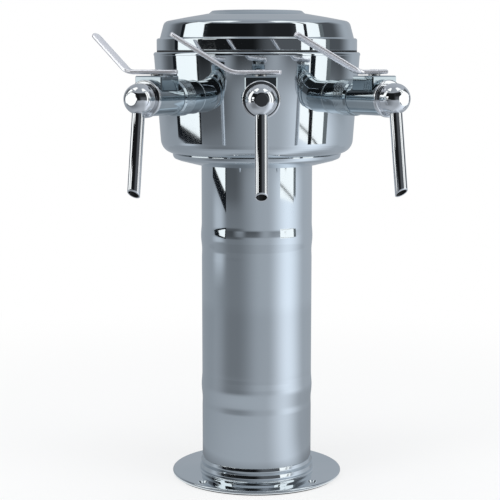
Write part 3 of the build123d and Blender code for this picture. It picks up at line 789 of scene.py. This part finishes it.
def make_lid():
    lid = turned([
        (0, LID_TOP, 0),
        (40.6, LID_TOP, 1.4),
        (43.5, LID_TOP - 2.5, 2.5),
        (63.0, CROWN_TOP + 4.0, 60.0),
        (83.9, CROWN_TOP, 5.5),
        (88.0, BAND_TOP, 0.8),
        (BAND_RADIUS, BAND_TOP, 1.6),
        (BAND_RADIUS, BAND_BOTTOM, 0.4),
        (88.6, BAND_BOTTOM, 0),
        (88.6, LID_BOTTOM, 0.3),
        (87.4, LID_BOTTOM, 0.3),
        (87.4, BAND_TOP - LID_WALL, 0),
        (86.8, BAND_TOP - LID_WALL, 0.3),
        (82.7, CROWN_TOP - LID_WALL, 4.3),
        (62.7, CROWN_TOP + 4.0 - LID_WALL, 60.0),
        (42.7, LID_TOP - 2.5 - LID_WALL, 1.0),
        (40.0, LID_TOP - LID_WALL, 0.4),
        (0, LID_TOP - LID_WALL, 0),
    ], steps=384)
    return add_piece("lid", lid, "tower", tower_steel, ["head_lid"])


# ---------------------------------------------------------------- taps
def make_nut(side, turn):
    """The coupling nut: plain barrel, raised bead, ridged grip and nose."""
    grip_start = NUT_END - NOSE_LENGTH - GRIP_LENGTH
    rows = [
        (SHANK_HOLE_RADIUS, NUT_START, 0),
        (14.3, NUT_START, 0.7),
        (14.3, grip_start - 2.0, 0.25),
        (15.0, grip_start - 2.0, 0.6),
        (15.0, grip_start - 0.05, 0.5),
    ]
    pitch = GRIP_LENGTH / GRIP_RIDGES
    for n in range(GRIP_RIDGES):
        crest = grip_start + pitch * (n + 0.5)
        rows += [(15.4, crest - 0.68, 0.32), (15.4, crest + 0.68, 0.32)]
        if n < GRIP_RIDGES - 1:
            rows.append((14.95, crest + pitch / 2, 0.12))
    lip, seat = NUT_END - 2.1, NUT_END - 7.5
    rows += [(14.5, NUT_END, 0.4), (11.0, NUT_END, 0), (11.0, lip, 0), (12.4, lip, 0),
             (12.4, seat, 0), (SHANK_HOLE_RADIUS, seat, 0)]
    nut = turned(rows, steps=160, place=tap_place(turn))
    # The nut wears the darker chrome copy, which paints shade on it.
    return add_piece("nut_" + side, nut, "tower", painted_shade_chrome, ["coupling_nut_" + side])


def make_ring(side, turn):
    """The flange between the tap's body and its outlet cap."""
    bore = 9.5
    ring = turned([(bore, RING_START, 0), (RING_RADIUS, RING_START, 1.3),
                   (RING_RADIUS, RING_END, 1.5), (bore, RING_END, 0)], steps=160, place=tap_place(turn))
    return add_piece("ring_" + side, ring, "tower", tap_chrome, ["cap_ring_" + side])


def make_spout(side, turn):
    """A straight tube that leans out, its end cut on a slant with the outer side shorter."""
    place = tap_place(turn, CAP_CENTRE) @ Matrix.Rotation(pi / 2 - SPOUT_LEAN, 4, "X")
    outer, bore, end, steps = SPOUT_RADIUS, SPOUT_RADIUS - SPOUT_WALL, SPOUT_LENGTH, 96
    start, cap_face, edge = 7.5, 11.97, 0.18
    square = [(outer - 0.3, start), (outer - 0.3, cap_face), (outer, cap_face), (outer, 13),
              (outer, 40), (outer, end - 7)]
    slanted = [(outer, end - 1 - edge), (outer, end - edge), (outer - 0.12, end),
               (bore + 0.12, end), (bore, end - edge)]
    rows = [(*row, 0) for row in square] + [(*row, 1) for row in slanted] + [(bore, start, 0)]
    bm = bmesh.new()
    inside = bm.verts.layers.float.new("inside")
    rings = []
    for radius, along, slant in rows:
        ring = []
        for n in range(steps):
            a = 2 * pi * n / steps
            x, y = radius * cos(a), radius * sin(a)
            z = along - slant * y * tan(SPOUT_BEVEL)
            ring.append(bm.verts.new(place @ Vector((x, y, z)) * MM))
        rings.append(ring)
    for low, high in zip(rings, rings[1:] + rings[:1]):
        join_rings(bm, low, high, steps)
    # Mark the bore's rings for the painted shade in the spout's material.
    for ring in rings[-2:]:
        for corner in ring:
            corner[inside] = 1.0
    return add_piece("tube_" + side, bm, "tower", spout_steel, ["spout_" + side], sharp=50)


def make_cap(side, turn):
    """The outlet cap: a short cylinder with a round end, and a small flat on the end. The round
    end's facets turn by less than the sharp angle, so only the flat's edge stays crisp."""
    place = tap_place(turn, CAP_CENTRE)
    back = RING_END - CAP_CENTRE
    cap = turned([(0, back, 0), (CAP_RADIUS, back, 0.3), (CAP_RADIUS, CAP_RADIUS, CAP_RADIUS - 0.01),
                  (0, CAP_RADIUS, 0)], steps=128, place=place, turn_step=3.0)
    facing = (place @ Matrix.Rotation(CAP_FLAT_TILT, 4, "X")).to_3x3() @ Vector((0, 0, 1))
    everything = cap.verts[:] + cap.edges[:] + cap.faces[:]
    result = bmesh.ops.bisect_plane(cap, geom=everything, plane_no=facing, clear_outer=True,
                                    plane_co=(place.translation + facing * CAP_FLAT) * MM)
    rim = [part for part in result["geom_cut"] if isinstance(part, bmesh.types.BMEdge)]
    bmesh.ops.edgeloop_fill(cap, edges=rim)
    bmesh.ops.bevel(cap, geom=rim, offset=0.6 * MM, segments=2, profile=0.5, affect="EDGES")
    return add_piece("cap_" + side, cap, "tower", tap_chrome, ["outlet_cap_" + side],
                     sharp=5)


def lever_line():
    """Points along the bar's middle and the share of the bend that lies behind each."""
    arc = corner_arc(LEVER_TAIL, LEVER_BEND, LEVER_TIP, LEVER_BEND_RADIUS, turn_step=3.0)
    line = [(LEVER_TAIL.lerp(arc[0], n / 12), 0.0) for n in range(12)]
    line += [(point, n / (len(arc) - 1)) for n, point in enumerate(arc)]
    return line + [(arc[-1].lerp(LEVER_TIP, (n + 1) / 20), 1.0) for n in range(20)]


def lever_stations():
    """The line's points again, with more of them close to the two round ends."""
    line = lever_line()
    run = [0.0]
    for (a, _), (b, _) in zip(line, line[1:]):
        run.append(run[-1] + (b - a).length)
    near_ends = [0.0, 0.05, 0.15, 0.35, 0.65, 1.05, 1.55, 2.2, 3.0, 3.8, 4.4]
    stations = sorted(set(run + near_ends + [run[-1] - d for d in near_ends]))
    rows = []
    for s in stations:
        n = min(max(i for i in range(len(run)) if run[i] <= s + 1e-9), len(run) - 2)
        t = min((s - run[n]) / (run[n + 1] - run[n]), 1.0)
        (a, turned_a), (b, turned_b) = line[n], line[n + 1]
        rows.append((a.lerp(b, t), turned_a * (1 - t) + turned_b * t, min(s, run[-1] - s)))
    return rows


def round_off(distance, radius):
    """Half width share at a distance from a round end."""
    return sqrt(max(0.0, 1 - (1 - min(distance / radius, 1)) ** 2))


def make_lever(side, turn):
    """A flat bar with well rounded edges and ends, bent once, up and back to the tower."""
    place = upright_place(turn, VALVE_DISTANCE, LEVER_BOTTOM + LEVER_THICKNESS / 2)
    place = place @ Matrix.Rotation(LEVER_TURN, 4, "Z")
    ahead, arm = Vector((1, 0, 0)), (LEVER_TIP - LEVER_BEND).normalized()
    hinge = ahead.cross(arm).normalized()
    steps, power = 48, 0.62
    bm = bmesh.new()
    rings = []
    for point, share, near in lever_stations():
        roll = Matrix.Rotation(ahead.angle(arm) * share, 3, hinge)
        half_width = LEVER_WIDTH / 2 * max(round_off(near, LEVER_WIDTH / 2 - 0.3), 0.02)
        half_thick = LEVER_THICKNESS / 2 * max(round_off(near, 1.0), 0.05)
        ring = []
        for n in range(steps):
            c, s = cos(2 * pi * n / steps), sin(2 * pi * n / steps)
            across = half_width * abs(c) ** power * (1 if c > 0 else -1)
            up = half_thick * abs(s) ** power * (1 if s > 0 else -1)
            ring.append(bm.verts.new(place @ (point + roll @ Vector((0, across, up))) * MM))
        rings.append(ring)
    for low, high in zip(rings, rings[1:]):
        join_rings(bm, low, high, steps)
    bm.faces.new(rings[0])
    bm.faces.new(rings[-1])
    return add_piece("bar_" + side, bm, f"lever_{side}_body", lever_chrome,
                     ["lever_" + side], sharp=70)


def make_lever_screw(side, turn):
    """The socket screw that holds the lever on the valve stem."""
    place = upright_place(turn, VALVE_DISTANCE, LEVER_BOTTOM + LEVER_THICKNESS)
    screw = turned([(0, -7.2, 0), (2.0, -7.2, 0.2), (2.0, -2.2, 0), (4.2, -0.25, 0.3), (3.9, 0.12, 0.3),
                    (0, 0.35, 0)], steps=64, place=place)
    screw = add_piece("screw_" + side, screw, f"lever_{side}_body", lever_chrome,
                      ["lever_screw_" + side])
    socket = turned([(0, -1.6, 0), (1.5, -1.6, 0), (1.5, 1.0, 0), (0, 1.0, 0)], steps=6, place=place)
    return cut(screw, socket)


dress_cad_nodes()
make_flange()
make_column()
make_neck()
make_bowl()
make_lid()
for side, turn in TAPS.items():
    make_nut(side, turn)
    make_ring(side, turn)
    make_cap(side, turn)
    make_spout(side, turn)
    make_lever(side, turn)
    make_lever_screw(side, turn)
